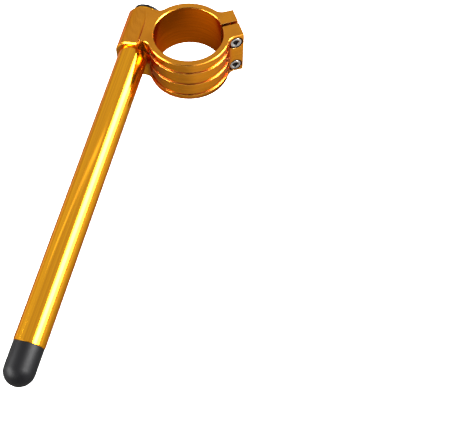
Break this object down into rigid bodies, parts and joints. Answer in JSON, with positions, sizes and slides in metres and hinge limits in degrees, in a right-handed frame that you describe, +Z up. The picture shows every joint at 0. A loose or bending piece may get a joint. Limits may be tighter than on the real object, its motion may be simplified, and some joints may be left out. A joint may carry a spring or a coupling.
{
  "type": "clip on handlebar",
  "caption": "Gold anodised clip-on handlebar for a left fork leg: split clamp with grooved ring, pinch bolts and boss, drooping tube and black end plugs.",
  "frame": {"origin": "on the axis of the fork bore, at the middle of the clamp's height", "axes": "+Z up along the fork bore, -Y out along the bar as seen from above, -X towards the boss that holds the bar"},
  "size_m": [0.0919, 0.2969, 0.0705],
  "materials": {
    "clamp_gold": "satin gold anodised",
    "tube_gold": "polished gold anodised",
    "black_plastic": "matte black",
    "bolt_steel": "bright zinc",
    "screw_black": "black oxide"
  },
  "bodies": {
    "root": {"clamp_body": "clamp_gold", "handlebar_tube": "tube_gold", "bar_end_plug": "black_plastic", "inner_end_plug": "black_plastic", "upper_pinch_bolt": "bolt_steel", "lower_pinch_bolt": "bolt_steel", "bar_lock_screw": "screw_black"}
  },
  "joints": []
}
